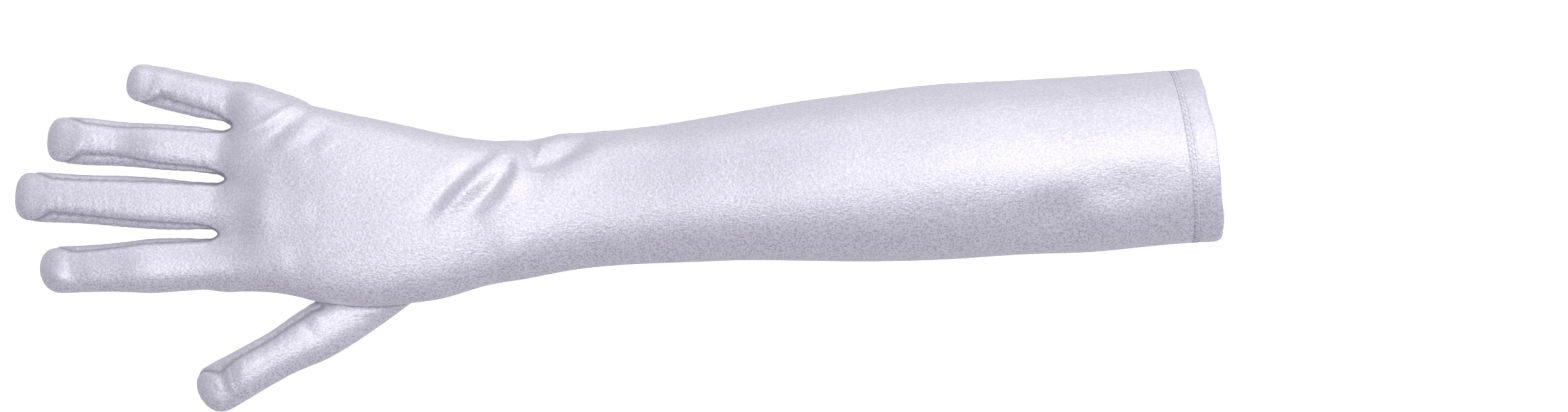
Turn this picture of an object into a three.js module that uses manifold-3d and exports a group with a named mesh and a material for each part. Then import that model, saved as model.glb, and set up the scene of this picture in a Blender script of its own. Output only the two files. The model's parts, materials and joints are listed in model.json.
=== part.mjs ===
// An opera glove for the right hand, as worn, lying palm down.
// Millimetres. +X runs from the fingertips to the cuff, +Y to the little finger's side, +Z to the back
// of the hand. The origin is the middle of the footprint, on the surface the glove lies on.

import * as THREE from 'three';
import { mergeVertices } from 'three/addons/utils/BufferGeometryUtils.js';
import Module from 'manifold-3d';

const wasm = await Module();
wasm.setup();

// ---------- driving dimensions ----------

const wall = 0.8;            // thickness of the cloth, seams included
const gap = 0.3;             // clearance between neighbouring pieces
const leastTip = wall * 2;   // half size of a fingertip's last section

const gloveLength = 436;     // longest fingertip to cuff edge
const hemDepth = 10.5;       // folded hem at the cuff
const stitchWidth = 1.2;     // row of cover stitch between the hem and the sleeve
const seamThread = 0.9;      // thickness of the closing seam's thread

const cuffHalfWidth = 31.3;
const cuffHalfHeight = 29.5;
const forearmHalfWidth = 31.5;
const forearmHalfHeight = 29.5;
const lowerArmHalfWidth = 28.7;
const lowerArmHalfHeight = 25.5;
const wristHalfWidth = 24.5;
const wristHalfHeight = 19.0;

const forearmAt = 75;        // distances from the cuff edge
const lowerArmAt = 150;
const wristAt = 225;
const wristPivotAt = 250;
const wristBendHalf = 11;    // cloth that bends either side of the wrist's axis
const handAt = 285;
const thumbHoleAt = 309;
const webAt = 358;           // middle of the hand's finger edge

const handHalfWidth = 31.5;
const handHalfHeight = 16.0;
const palmHalfWidth = 35.5;
const palmHalfHeight = 14.6;
const fingerEdgeHalfWidth = 37.0;
const fingerEdgeHalfHeight = 10.2;
const fingerEdgeY = 16.0;
const fingerEdgeTurn = 12;   // degrees that the finger edge leans from straight across

const thumbHoleHalfLength = 19;
const thumbHoleHalfHeight = 7.0;
const thumbHoleY = -31;
const thumbHoleZ = 8.8;

const flatCut = 0.6;         // how far the lowest cloth is pressed flat by the surface it lies on
const roundSteps = 28;       // facets round the sleeve
const handSteps = 32;
const fingerSteps = 20;

const satin = 0xe6e4ec;
const satinShade = 0xd9d6e2;
const threadColour = 0xcfccd8;

// Each finger: where its axis leaves the hand, the way it points (degrees from straight, towards the
// little finger), its length from the hand, and its half sizes.
const fingers = {
  index: { y: -10.6, turn: 1, length: 65.5, halfWidth: 9.3, tipHalfWidth: 7.4, halfHeight: 8.2 },
  middle: { y: 9.6, turn: 7.6, length: 77.3, halfWidth: 9.1, tipHalfWidth: 7.4, halfHeight: 8.3 },
  ring: { y: 28.9, turn: 10.1, length: 68.3, halfWidth: 8.7, tipHalfWidth: 7.2, halfHeight: 8.0 },
  little: { y: 46.6, turn: 17.3, length: 41.5, halfWidth: 7.4, tipHalfWidth: 6.4, halfHeight: 7.1 },
};
const baseBend = { pivot: 8, to: 14 };                 // distances along a finger
const middleBend = { from: 29.8, pivot: 37, to: 44.2 };
const littleBaseBend = { pivot: 7, to: 12.2 };
const littleMiddleBend = { from: 18.6, pivot: 24.8, to: 31 };

const thumb = {
  at: 333, y: -41.0, turn: -24.5, length: 42.8, halfWidth: 9.4, tipHalfWidth: 7.8, halfHeight: 8.6,
};
const thumbStart = 0.6;
const thumbBend = { from: 13, pivot: 18.5, to: 24 };

const sideSeamAngle = 36;    // half the angle of a fourchette, seen from the finger's axis
const thumbSeamAngle = 40;   // where the thumb's inner seam lies, seen from its axis
const fingerTipRound = 10;   // length of the rounded end
const thumbTipRound = 9;
const roundEndShares = [0, 0.35, 0.65, 0.86, 0.96, 1];
const fingerSlimming = 0.16; // share of its height that a finger loses by its tip
const thumbSlimming = 0.14;
const squareFinger = 2.1;    // how square a finger's section is; 2 is an ellipse
const fingerStep = 8;        // distance between a finger's sections
const armStep = 12;

const webWidth = 2.4;        // a fourchette's piece at the web between two fingers
const webSetOut = 3.2;
const webShorter = 6;

// ---------- sections ----------
// A section is an oval across the glove: its centre, the level direction across it, its half sizes and
// how square it is. Its angle 0 is the little finger's side, 90 the back and 180 the index side.

const radians = (degrees) => (degrees * Math.PI) / 180;

function section(at, y, halfWidth, halfHeight, turn = 0, z = halfHeight - flatCut, squareness = 2) {
  return { x: gloveLength / 2 - at, y, z, turn, halfWidth, halfHeight, squareness };
}

function roundPower(value, squareness) {
  return Math.sign(value) * Math.pow(Math.abs(value), 2 / squareness);
}

// A point on a section's cloth, or inside it by the inset. Cloth below the surface lies flat on it.
function sectionPoint(oval, angle, inset) {
  const across = (oval.halfWidth - inset) * roundPower(Math.cos(angle), oval.squareness);
  const up = (oval.halfHeight - inset) * roundPower(Math.sin(angle), oval.squareness);
  const turn = radians(oval.turn);
  return [
    oval.x + across * Math.sin(turn),
    oval.y + across * Math.cos(turn),
    Math.max(oval.z + up, inset),
  ];
}

// Sections at even steps between the given ones, on smooth curves through them.
function between(ovals, stepLength) {
  const result = [];
  for (let index = 0; index < ovals.length - 1; index += 1) {
    const distance = Math.hypot(ovals[index + 1].x - ovals[index].x, ovals[index + 1].y - ovals[index].y);
    const steps = Math.max(1, Math.round(distance / stepLength));
    for (let step = 0; step < steps; step += 1) {
      result.push(curved(ovals, index, step / steps));
    }
  }
  result.push(ovals[ovals.length - 1]);
  return result;
}

// A section part of the way from one of a list to the next, on the smooth curve through the list.
function curved(ovals, index, share) {
  const last = ovals.length - 1;
  const place = (number) => ovals[Math.min(last, Math.max(0, number))];
  const length = ovals[index + 1].x - ovals[index].x;
  const slope = (number, key) => {
    const run = place(number + 1).x - place(number - 1).x;
    return ((place(number + 1)[key] - place(number - 1)[key]) / run) * length;
  };
  const result = {};
  for (const key of Object.keys(ovals[index])) {
    const rise = ovals[index + 1][key] - ovals[index][key];
    const cubic = slope(index, key) + slope(index + 1, key) - 2 * rise;
    const square = rise - slope(index, key) - cubic;
    result[key] = ovals[index][key] + share * (slope(index, key) + share * (square + share * cubic));
  }
  return result;
}

function mix(first, second, share) {
  const result = {};
  for (const key of Object.keys(first)) {
    result[key] = first[key] + (second[key] - first[key]) * share;
  }
  return result;
}

// The section at a distance from the cuff, taken from a list that runs from the cuff to the fingers.
function sectionAt(ovals, at) {
  const x = gloveLength / 2 - at;
  let index = 0;
  while (index < ovals.length - 2 && ovals[index + 1].x > x) {
    index += 1;
  }
  const first = ovals[index];
  const second = ovals[index + 1];
  return mix(first, second, (first.x - x) / (first.x - second.x));
}

function cutList(ovals, fromAt, toAt) {
  const fromX = gloveLength / 2 - fromAt;
  const toX = gloveLength / 2 - toAt;
  const inside = ovals.filter((oval) => oval.x < fromX - 1 && oval.x > toX + 1);
  return [sectionAt(ovals, fromAt), ...inside, sectionAt(ovals, toAt)];
}

// ---------- solids ----------

// One closed solid from a grid of outer points and the matching grid of inner points. A ring closes on
// itself in the second direction. A strip has two long edges.
function shellGeometry(outer, inner, isRing) {
  const rows = outer.length;
  const columns = outer[0].length;
  const positions = [];
  for (const grid of [outer, inner]) {
    for (const row of grid) {
      for (const point of row) {
        positions.push(...point);
      }
    }
  }
  const at = (side, row, column) => (side * rows + row) * columns + (column % columns);
  const indices = [];
  const quad = (a, b, c, d) => indices.push(a, b, c, a, c, d);
  const spans = isRing ? columns : columns - 1;
  for (let row = 0; row < rows - 1; row += 1) {
    for (let column = 0; column < spans; column += 1) {
      quad(at(0, row, column), at(0, row + 1, column), at(0, row + 1, column + 1), at(0, row, column + 1));
      quad(at(1, row, column), at(1, row, column + 1), at(1, row + 1, column + 1), at(1, row + 1, column));
    }
    if (!isRing) {
      const last = columns - 1;
      quad(at(0, row, 0), at(1, row, 0), at(1, row + 1, 0), at(0, row + 1, 0));
      quad(at(0, row, last), at(0, row + 1, last), at(1, row + 1, last), at(1, row, last));
    }
  }
  const end = rows - 1;
  for (let column = 0; column < spans; column += 1) {
    quad(at(0, 0, column), at(0, 0, column + 1), at(1, 0, column + 1), at(1, 0, column));
    quad(at(0, end, column), at(1, end, column), at(1, end, column + 1), at(0, end, column + 1));
  }
  return faceOutwards(positions, indices);
}

function faceOutwards(positions, indices) {
  let volume = 0;
  const corner = (index) => new THREE.Vector3().fromArray(positions, index * 3);
  for (let index = 0; index < indices.length; index += 3) {
    const [a, b, c] = [0, 1, 2].map((offset) => corner(indices[index + offset]));
    volume += a.dot(b.cross(c)) / 6;
  }
  if (volume < 0) {
    for (let index = 0; index < indices.length; index += 3) {
      [indices[index], indices[index + 1]] = [indices[index + 1], indices[index]];
    }
  }
  const geometry = new THREE.BufferGeometry();
  geometry.setAttribute('position', new THREE.Float32BufferAttribute(positions, 3));
  geometry.setIndex(indices);
  return geometry;
}

// A strip of cloth between two angles in degrees, drawn back from both edges by half a gap.
function strip(ovals, fromDegrees, toDegrees, steps) {
  const grid = (inset) => ovals.map((oval) => {
    const spare = gap / Math.min(oval.halfWidth, oval.halfHeight);
    const from = radians(fromDegrees) + spare;
    const to = radians(toDegrees) - spare;
    const row = [];
    for (let step = 0; step <= steps; step += 1) {
      row.push(sectionPoint(oval, from + ((to - from) * step) / steps, inset));
    }
    return row;
  });
  return shellGeometry(grid(0), grid(wall), false);
}

// Cloth right round the glove.
function ring(ovals, steps, thickness = wall) {
  const grid = (inset) => ovals.map((oval) => {
    const row = [];
    for (let step = 0; step < steps; step += 1) {
      row.push(sectionPoint(oval, (2 * Math.PI * (step + 0.5)) / steps, inset));
    }
    return row;
  });
  return shellGeometry(grid(0), grid(thickness), true);
}

function toManifold(geometry) {
  const merged = mergeVertices(geometry, 1e-5);
  return new wasm.Manifold(new wasm.Mesh({
    numProp: 3,
    vertProperties: new Float32Array(merged.attributes.position.array),
    triVerts: new Uint32Array(merged.index.array),
  }));
}

function fromManifold(manifold) {
  const mesh = manifold.getMesh();
  const geometry = new THREE.BufferGeometry();
  geometry.setAttribute('position', new THREE.Float32BufferAttribute(mesh.vertProperties, 3));
  geometry.setIndex(new THREE.Uint32BufferAttribute(mesh.triVerts, 1));
  return geometry;
}

// ---------- the glove ----------

const glove = new THREE.Group();

function add(name, geometry, colour = satin, roughness = 0.45) {
  const material = new THREE.MeshStandardMaterial({ color: colour, roughness, metalness: 0 });
  const mesh = new THREE.Mesh(geometry, material);
  mesh.name = name;
  glove.add(mesh);
}

const stitchFrom = hemDepth + gap;
const sleeveFrom = stitchFrom + stitchWidth + gap;
const wristFrom = wristPivotAt - wristBendHalf;
const wristTo = wristPivotAt + wristBendHalf;
const fingerEdgeAt = webAt - gap * 2;

// Sleeve and hand follow one list of sections from the cuff to the finger edge.
const armOvals = between([
  section(0, -0.4, cuffHalfWidth, cuffHalfHeight),
  section(forearmAt, 0.9, forearmHalfWidth, forearmHalfHeight),
  section(lowerArmAt, 1.8, lowerArmHalfWidth, lowerArmHalfHeight),
  section(wristAt, 0.9, wristHalfWidth, wristHalfHeight),
  section(wristPivotAt, 0.1, wristHalfWidth + 0.6, wristHalfHeight - 0.8, 0, wristHalfHeight - 1.4, 2.1),
  section(handAt, 0.3, handHalfWidth, handHalfHeight, 2, handHalfHeight - flatCut, 2.2),
  section(thumbHoleAt + 14, 7.5, palmHalfWidth, palmHalfHeight, 6, palmHalfHeight - flatCut, 2.3),
  section(fingerEdgeAt, fingerEdgeY, fingerEdgeHalfWidth, fingerEdgeHalfHeight, fingerEdgeTurn,
    fingerEdgeHalfHeight - flatCut, 2.5),
], armStep);

add('hem_band', ring(cutList(armOvals, 0, hemDepth), roundSteps, wall * 2));
add('hem_stitching', ring(cutList(armOvals, stitchFrom, stitchFrom + stitchWidth), roundSteps), threadColour);
add('sleeve_trank', strip(cutList(armOvals, sleeveFrom, wristFrom - gap), 0, 360, roundSteps));
add('wrist_bend', ring(cutList(armOvals, wristFrom, wristTo), roundSteps));
addHandTrank();
addClosingSeam('sleeve_closing_seam', cutList(armOvals, sleeveFrom, wristFrom - gap));
addClosingSeam('hand_closing_seam', cutList(armOvals, wristTo + gap, webAt - 12));
addWebs();

for (const name of Object.keys(fingers)) {
  addFinger(name, fingers[name]);
}
addThumb();

// The hand is one piece of cloth, open along the closing seam, with a hole that the thumb is set into.
function addHandTrank() {
  const ovals = cutList(armOvals, wristTo + gap, fingerEdgeAt);
  const cloth = toManifold(strip(ovals, 0, 360, handSteps));
  const hole = new THREE.CylinderGeometry(1, 1, 40, 24);
  hole.deleteAttribute('uv');
  hole.deleteAttribute('normal');
  hole.scale(thumbHoleHalfLength + gap, 1, thumbHoleHalfHeight + gap);
  hole.translate(gloveLength / 2 - thumbHoleAt, -38, thumbHoleZ);
  add('hand_trank', fromManifold(cloth.subtract(toManifold(hole))));
}

// A thread that lies just outside the closing seam, on the little finger's side.
function addClosingSeam(name, ovals) {
  const half = seamThread / 2;
  const outer = [];
  const inner = [];
  for (const oval of ovals) {
    const out = { ...oval, halfWidth: oval.halfWidth + gap + seamThread };
    const near = { ...oval, halfWidth: oval.halfWidth + gap };
    const rows = [out, near].map((edge) => {
      const [x, y, z] = sectionPoint(edge, 0, 0);
      return [[x, y, z - half], [x, y, z + half]];
    });
    outer.push(rows[0]);
    inner.push(rows[1]);
  }
  add(name, shellGeometry(outer, inner, false), threadColour, 0.6);
}

// Each fourchette turns round the web between two fingers. This is its piece at the web.
function addWebs() {
  const names = Object.keys(fingers);
  for (let index = 0; index < names.length - 1; index += 1) {
    const first = fingers[names[index]];
    const second = fingers[names[index + 1]];
    const y = (first.y + first.halfWidth + second.y - second.halfWidth) / 2;
    const slope = Math.tan(radians(fingerEdgeTurn));
    const x = gloveLength / 2 - webAt + (y - fingerEdgeY) * slope;
    const height = fingerEdgeHalfHeight * 2 - webShorter;
    const plate = new THREE.BoxGeometry(wall, webWidth, height);
    plate.rotateZ(-radians(fingerEdgeTurn));
    plate.translate(x + webSetOut, y, fingerEdgeHalfHeight - flatCut);
    add(`${names[index]}_${names[index + 1]}_web`, plate, satinShade);
  }
}

// A digit's section at a distance along it, from the place where it starts. It closes in a round tip.
function digitOval(digit, distance, startX, tipRound, slimming) {
  const turn = radians(digit.turn);
  const share = distance / digit.length;
  const toTip = Math.min(1, Math.max(0, (digit.length - distance) / tipRound));
  const close = Math.sqrt(1 - (1 - toTip) * (1 - toTip));
  const halfWidth = digit.halfWidth + (digit.tipHalfWidth - digit.halfWidth) * share * share;
  const halfHeight = digit.halfHeight * (1 - slimming * share);
  return {
    x: startX - distance * Math.cos(turn),
    y: digit.y + distance * Math.sin(turn),
    z: halfHeight - flatCut / 2,
    turn: digit.turn,
    halfWidth: Math.max(halfWidth * close, leastTip),
    halfHeight: Math.max(halfHeight * close, leastTip),
    squareness: squareFinger,
  };
}

function fingerOval(finger, distance) {
  const slope = Math.tan(radians(fingerEdgeTurn));
  const startX = gloveLength / 2 - webAt + (finger.y - fingerEdgeY) * slope;
  return digitOval(finger, distance, startX, fingerTipRound, fingerSlimming);
}

function thumbOval(distance) {
  return digitOval(thumb, distance, gloveLength / 2 - thumb.at, thumbTipRound, thumbSlimming);
}

function fingerOvals(finger, from, to) {
  const tipStart = finger.length - fingerTipRound;
  const stops = [from];
  for (let distance = from + fingerStep; distance < Math.min(to, tipStart) - 3; distance += fingerStep) {
    stops.push(distance);
  }
  if (to < finger.length) {
    stops.push(to);
  } else {
    stops.push(...roundEndShares.map((share) => tipStart + share * fingerTipRound));
  }
  return stops.map((distance) => fingerOval(finger, distance));
}

function addFinger(name, finger) {
  const isLittle = name === 'little';
  const base = isLittle ? littleBaseBend : baseBend;
  const middle = isLittle ? littleMiddleBend : middleBend;
  const lean = Math.tan(radians(fingerEdgeTurn)) - Math.tan(radians(finger.turn));
  const from = finger.halfWidth * Math.abs(lean) + gap;
  add(`${name}_base_bend`, ring(fingerOvals(finger, from, base.to), fingerSteps));
  addStrips(name, 'lower', fingerOvals(finger, base.to + gap, middle.from - gap));
  add(`${name}_middle_bend`, ring(fingerOvals(finger, middle.from, middle.to), fingerSteps));
  addStrips(name, 'tip', fingerOvals(finger, middle.to + gap, finger.length));
}

// The index finger's cloth is folded round its outer side, the little finger's is closed on its own
// outer side by the closing seam, and the two between have a fourchette on each side.
function addStrips(name, part, ovals) {
  const side = sideSeamAngle;
  if (name === 'index') {
    add(`${name}_${part}_trank`, strip(ovals, side, 360 - side, 16));
  } else {
    const seam = name === 'little' ? 0 : side;
    add(`${name}_${part}_back`, strip(ovals, seam, 180 - side, 7));
    add(`${name}_${part}_palm`, strip(ovals, 180 + side, 360 - seam, 7));
    add(`${name}_${part}_index_side_fourchette`, strip(ovals, 180 - side, 180 + side, 4), satinShade);
  }
  if (name !== 'little') {
    add(`${name}_${part}_little_side_fourchette`, strip(ovals, -side, side, 4), satinShade);
  }
}

// The thumb is its own piece of cloth, folded on its outer side and closed by a seam on its inner side.
// Its root is set into the hole in the hand and turns from there to the thumb's own direction.
function addThumb() {
  const hole = {
    x: gloveLength / 2 - thumbHoleAt,
    y: thumbHoleY,
    z: thumbHoleZ,
    turn: -88,
    halfWidth: thumbHoleHalfLength - wall,
    halfHeight: thumbHoleHalfHeight,
    squareness: 2,
  };
  const { from, pivot, to } = thumbBend;
  const bend = [from, pivot, to].map(thumbOval);
  const lower = [thumbStart + gap, from / 2, from - gap].map(thumbOval);
  const tipStart = thumb.length - thumbTipRound;
  const roundEnd = roundEndShares.map((share) => tipStart + share * thumbTipRound);
  const tip = [to + gap, ...roundEnd].map(thumbOval);
  const seam = thumbSeamAngle;
  add('thumb_base_bend', ring(between([hole, thumbOval(thumbStart)], 5), fingerSteps));
  add('thumb_lower', strip(lower, seam, seam + 360, fingerSteps));
  add('thumb_middle_bend', ring(bend, fingerSteps));
  add('thumb_tip', strip(tip, seam, seam + 360, fingerSteps));
}

// The middle of the footprint goes to the origin.
const middle = new THREE.Box3().setFromObject(glove).getCenter(new THREE.Vector3());
glove.position.set(-middle.x, -middle.y, 0);

export default glove;
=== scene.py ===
import json
import math

import bpy
import numpy as np
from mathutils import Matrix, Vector


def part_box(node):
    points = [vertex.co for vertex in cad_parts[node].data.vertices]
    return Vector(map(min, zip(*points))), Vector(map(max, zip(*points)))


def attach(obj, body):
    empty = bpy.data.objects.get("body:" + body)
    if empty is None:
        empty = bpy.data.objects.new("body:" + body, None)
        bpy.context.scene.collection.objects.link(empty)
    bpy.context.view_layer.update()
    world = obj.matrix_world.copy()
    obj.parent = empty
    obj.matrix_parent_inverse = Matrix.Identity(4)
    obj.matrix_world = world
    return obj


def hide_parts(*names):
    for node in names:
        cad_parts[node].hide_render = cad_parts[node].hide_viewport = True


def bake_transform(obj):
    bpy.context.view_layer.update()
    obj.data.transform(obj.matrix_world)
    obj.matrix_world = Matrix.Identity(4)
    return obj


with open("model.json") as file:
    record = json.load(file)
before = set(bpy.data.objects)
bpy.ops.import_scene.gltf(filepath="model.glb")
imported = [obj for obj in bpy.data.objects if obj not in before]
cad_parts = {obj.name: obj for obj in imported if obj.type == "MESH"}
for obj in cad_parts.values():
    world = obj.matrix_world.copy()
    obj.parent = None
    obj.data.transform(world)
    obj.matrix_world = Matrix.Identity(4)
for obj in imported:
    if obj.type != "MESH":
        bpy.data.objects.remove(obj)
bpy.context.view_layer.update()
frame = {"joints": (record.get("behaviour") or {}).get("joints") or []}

joints = {joint["name"]: joint for joint in frame["joints"]}
scene = bpy.context.scene

# All shaping is done in millimetres in the frame's own axes. Meshes are made in metres.
# +X runs to the cuff, +Y to the little finger's side, +Z out of the back of the hand.
mm = 0.001
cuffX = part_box("hem_band")[1].x / mm


def pivotOf(jointName):
    return np.array(joints[jointName]["pos_m"]) / mm


def pointingOf(jointName):
    across = joints[jointName]["axis"]
    return np.array([across[1], -across[0], 0.0])


def smoothCurve(x, places, values):
    # a smooth curve through a few points, with no overshoot between level ones
    places = np.asarray(places, float)
    values = np.asarray(values, float)
    run = np.diff(places)
    rise = np.diff(values) / run
    slope = np.zeros(len(places))
    slope[1:-1] = np.where(rise[1:] * rise[:-1] > 0, (rise[1:] + rise[:-1]) / 2, 0)
    slope[0], slope[-1] = rise[0], rise[-1]
    limit = 3 * np.minimum(np.abs(np.append(rise[0], rise)), np.abs(np.append(rise, rise[-1])))
    slope = np.clip(slope, -limit, limit)
    x = np.clip(x, places[0], places[-1])
    i = np.clip(np.searchsorted(places, x) - 1, 0, len(run) - 1)
    t = (x - places[i]) / run[i]
    a, b = values[i], values[i + 1]
    return (
        a * (1 + 2 * t) * (1 - t) ** 2
        + b * t * t * (3 - 2 * t)
        + run[i] * (slope[i] * t * (1 - t) ** 2 - slope[i + 1] * t * t * (1 - t))
    )


def softMin(a, b, size):
    mix = np.clip(0.5 + 0.5 * (b - a) / size, 0, 1)
    return b + (a - b) * mix - size * mix * (1 - mix)


def softMax(a, b, size):
    return -softMin(-a, -b, size)


def easeStep(t):
    t = np.clip(t, 0, 1)
    return t * t * (3 - 2 * t)


# Each station: distance from the cuff, the little finger's edge, the index side's edge, and the top.
armForm = {
    "stations": [
        (-8, 30.8, -31.6, 58.8),
        (0, 30.8, -31.6, 58.8),
        (40, 31.2, -32.0, 59.2),
        (90, 32.5, -30.6, 58.4),
        (125, 31.7, -29.4, 54.6),
        (150, 30.4, -26.9, 50.6),
        (175, 28.3, -24.8, 45.6),
        (200, 25.9, -23.8, 40.6),
        (225, 25.2, -23.6, 37.2),
        (250, 24.9, -25.3, 35.6),
        (265, 26.8, -27.0, 34.8),
        (285, 32.0, -30.6, 33.4),
        (305, 38.0, -31.0, 32.0),
        (325, 44.4, -28.2, 29.6),
        (345, 51.4, -22.6, 25.0),
        (360, 56.0, -20.4, 19.6),
        (380, 58.0, -20.0, 14.0),
    ],
    "squareAt": (0, 225, 285, 330, 380),
    "squareness": (2.0, 2.1, 2.7, 3.0, 3.1),
    "fingerEdge": 356.5,  # where the hand ends on the middle line of the fingers
    "fingerEdgeLean": 0.2126,  # how far that edge leans for each millimetre across
    "edgeRound": 7.0,
    "sink": 0.3,  # the form reaches this far under the floor, so that the underside is flat
}

# halfWidth and halfHeight are at the stations, which are shares of the length.
digitForm = {
    "index": {
        "pivotAt": 8.0, "length": 66.0, "tip": 8.5, "blunt": 2.5, "bow": 1.0,
        "stations": (-0.4, 0.0, 0.35, 0.5, 0.68, 0.8, 0.87, 1.0),
        "halfWidth": (8.3, 9.5, 9.75, 9.3, 8.7, 8.6, 8.6, 8.2),
        "top": (24.2, 20.6, 19.0, 18.6, 16.6, 14.9, 14.6, 12.0),
    },
    "middle": {
        "pivotAt": 8.0, "length": 77.6, "tip": 7.0, "blunt": 2.9, "bow": 0.0,
        "stations": (-0.4, 0.0, 0.4, 0.68, 0.88, 1.0),
        "halfWidth": (8.2, 9.2, 9.3, 8.7, 9.0, 8.8),
        "top": (25.2, 20.8, 18.8, 16.8, 15.0, 13.2),
    },
    "ring": {
        "pivotAt": 8.0, "length": 68.6, "tip": 7.0, "blunt": 2.7, "bow": -1.0,
        "stations": (-0.4, 0.0, 0.34, 0.48, 0.6, 0.8, 1.0),
        "halfWidth": (7.8, 8.8, 8.3, 8.0, 7.9, 8.5, 8.4),
        "top": (25.0, 19.8, 18.4, 17.2, 15.4, 14.8, 12.0),
    },
    "little": {
        "pivotAt": 7.0, "length": 42.4, "tip": 7.0, "blunt": 2.6, "bow": 0.0,
        "stations": (-0.5, 0.0, 0.4, 0.66, 0.84, 1.0),
        "halfWidth": (5.4, 7.9, 7.6, 7.4, 7.1, 7.0),
        "top": (21.0, 17.4, 15.6, 14.0, 13.0, 12.0),
    },
    "thumb": {
        "pivotAt": 18.5, "length": 45.5, "tip": 8.5, "blunt": 2.4, "bow": 0.0,
        "stations": (-1.1, -0.6, -0.1, 0.3, 0.55, 0.8, 1.0),
        "halfWidth": (5.0, 8.5, 10.2, 8.7, 8.8, 9.1, 8.8),
        "top": (10.0, 14.6, 17.6, 17.0, 16.4, 13.6, 11.4),
    },
}
digitSink = 0.15
digitRoundness = 2.2
fingerNames = ["index", "middle", "ring", "little"]

for name, form in digitForm.items():
    bendJoint = "thumb_middle" if name == "thumb" else f"{name}_base"
    form["along"] = pointingOf(bendJoint)
    form["across"] = np.array([form["along"][1], -form["along"][0], 0.0])
    form["root"] = pivotOf(bendJoint) - form["along"] * form["pivotAt"]
    form["root"][2] = 0.0


def digitPlace(points, form):
    # distance along the digit, and across it towards the little finger's side
    away = points - form["root"]
    along = away @ form["along"]
    across = away @ form["across"]
    share = np.clip(along / form["length"], -0.2, 1)
    return along, across - form["bow"] * share * share


def halfWidthAt(along, form):
    return smoothCurve(along / form["length"], form["stations"], form["halfWidth"])


def topAt(along, form):
    return smoothCurve(along / form["length"], form["stations"], form["top"])


def digitField(points, form):
    along, across = digitPlace(points, form)
    halfWidth = halfWidthAt(along, form)
    top = topAt(along, form)
    halfHeight = top / 2 + digitSink
    up = points[:, 2] - (top / 2 - digitSink)
    straight = form["length"] - form["tip"]
    past = np.maximum(along - straight, 0)
    power = digitRoundness
    ring = (np.abs(across / halfWidth) ** power + np.abs(up / halfHeight) ** power) ** (1 / power)
    blunt = form["blunt"]
    whole = (ring ** blunt + (past / form["tip"]) ** blunt) ** (1 / blunt)
    reach = np.sqrt(across ** 2 + up ** 2 + past ** 2)
    start = form["stations"][0] * form["length"]
    inside = reach - reach / np.maximum(whole, 1e-6)
    return softMax(inside, start - along, 4)


def handField(points):
    at = cuffX - points[:, 0]
    stations = np.array(armForm["stations"], float)
    littleEdge = smoothCurve(at, stations[:, 0], stations[:, 1])
    indexEdge = smoothCurve(at, stations[:, 0], stations[:, 2])
    top = smoothCurve(at, stations[:, 0], stations[:, 3])
    power = smoothCurve(at, armForm["squareAt"], armForm["squareness"])
    across = points[:, 1] - (littleEdge + indexEdge) / 2
    up = points[:, 2] - (top / 2 - armForm["sink"])
    halfWidth = (littleEdge - indexEdge) / 2
    halfHeight = top / 2 + armForm["sink"]
    ring = (np.abs(across / halfWidth) ** power + np.abs(up / halfHeight) ** power) ** (1 / power)
    reach = np.sqrt(across ** 2 + up ** 2)
    side = reach - reach / np.maximum(ring, 1e-6)
    edge = at - armForm["fingerEdge"] + (points[:, 1] - 16) * armForm["fingerEdgeLean"]
    return softMax(side, edge, armForm["edgeRound"])


# How softly the parts of the form run into each other.
joinSize = {"fingers": 0.6, "fingersToHand": 6.5, "thumb": 3.0, "underside": 1.2}
digitsFrom = cuffX - 250


def gloveField(points):
    hand = handField(points)
    field = hand.copy()
    near = points[:, 0] < digitsFrom
    if near.any():
        some = points[near]
        fingers = digitField(some, digitForm["index"])
        for name in fingerNames[1:]:
            fingers = softMin(fingers, digitField(some, digitForm[name]), joinSize["fingers"])
        whole = softMin(hand[near], fingers, joinSize["fingersToHand"])
        field[near] = softMin(whole, digitField(some, digitForm["thumb"]), joinSize["thumb"])
    return softMax(field, -points[:, 2], joinSize["underside"])


def surfaceNet(field, low, high, step):
    axes = [np.arange(low[i], high[i] + step, step) for i in range(3)]
    size = [len(axis) for axis in axes]
    values = np.empty(size, np.float32)
    side = np.stack(np.meshgrid(axes[1], axes[2], indexing="ij"), -1).reshape(-1, 2)
    for i, x in enumerate(axes[0]):
        column = np.column_stack([np.full(len(side), x), side])
        values[i] = field(column).reshape(size[1], size[2])
    inside = values < 0
    cells = [n - 1 for n in size]
    total = np.zeros(cells + [3], np.float32)
    count = np.zeros(cells, np.float32)
    corners = [(i, j, k) for i in (0, 1) for j in (0, 1) for k in (0, 1)]

    def part(array, corner):
        return array[tuple(slice(c, c + n) for c, n in zip(corner, cells))]

    for first in corners:
        for axis in range(3):
            if first[axis]:
                continue
            second = tuple(c + (a == axis) for a, c in enumerate(first))
            crosses = part(inside, first) != part(inside, second)
            a, b = part(values, first)[crosses], part(values, second)[crosses]
            place = np.tile(np.array(first, np.float32), (len(a), 1))
            place[:, axis] += a / (a - b)
            total[crosses] += place
            count[crosses] += 1
    active = count > 0
    number = np.full(cells, -1)
    number[active] = np.arange(active.sum())
    where = np.argwhere(active)
    points = (where + total[active] / count[active][:, None]) * step + np.array(low)
    quads = []
    for axis in range(3):
        u, v = (axis + 1) % 3, (axis + 2) % 3
        here = [slice(1, -1)] * 3
        here[axis] = slice(0, -1)
        there = list(here)
        there[axis] = slice(1, None)
        near, far = inside[tuple(here)], inside[tuple(there)]
        base = np.argwhere(near != far)
        base[:, u] += 1
        base[:, v] += 1
        flip = near[near != far]
        around = []
        for du, dv in ((1, 1), (0, 1), (0, 0), (1, 0)):
            cell = base.copy()
            cell[:, u] -= du
            cell[:, v] -= dv
            around.append(number[tuple(cell.T)])
        quad = np.column_stack(around)
        quad[~flip] = quad[~flip][:, ::-1]
        quads.append(quad)
    quads = np.vstack(quads)
    return points.astype(float), quads[(quads >= 0).all(1)]


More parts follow.
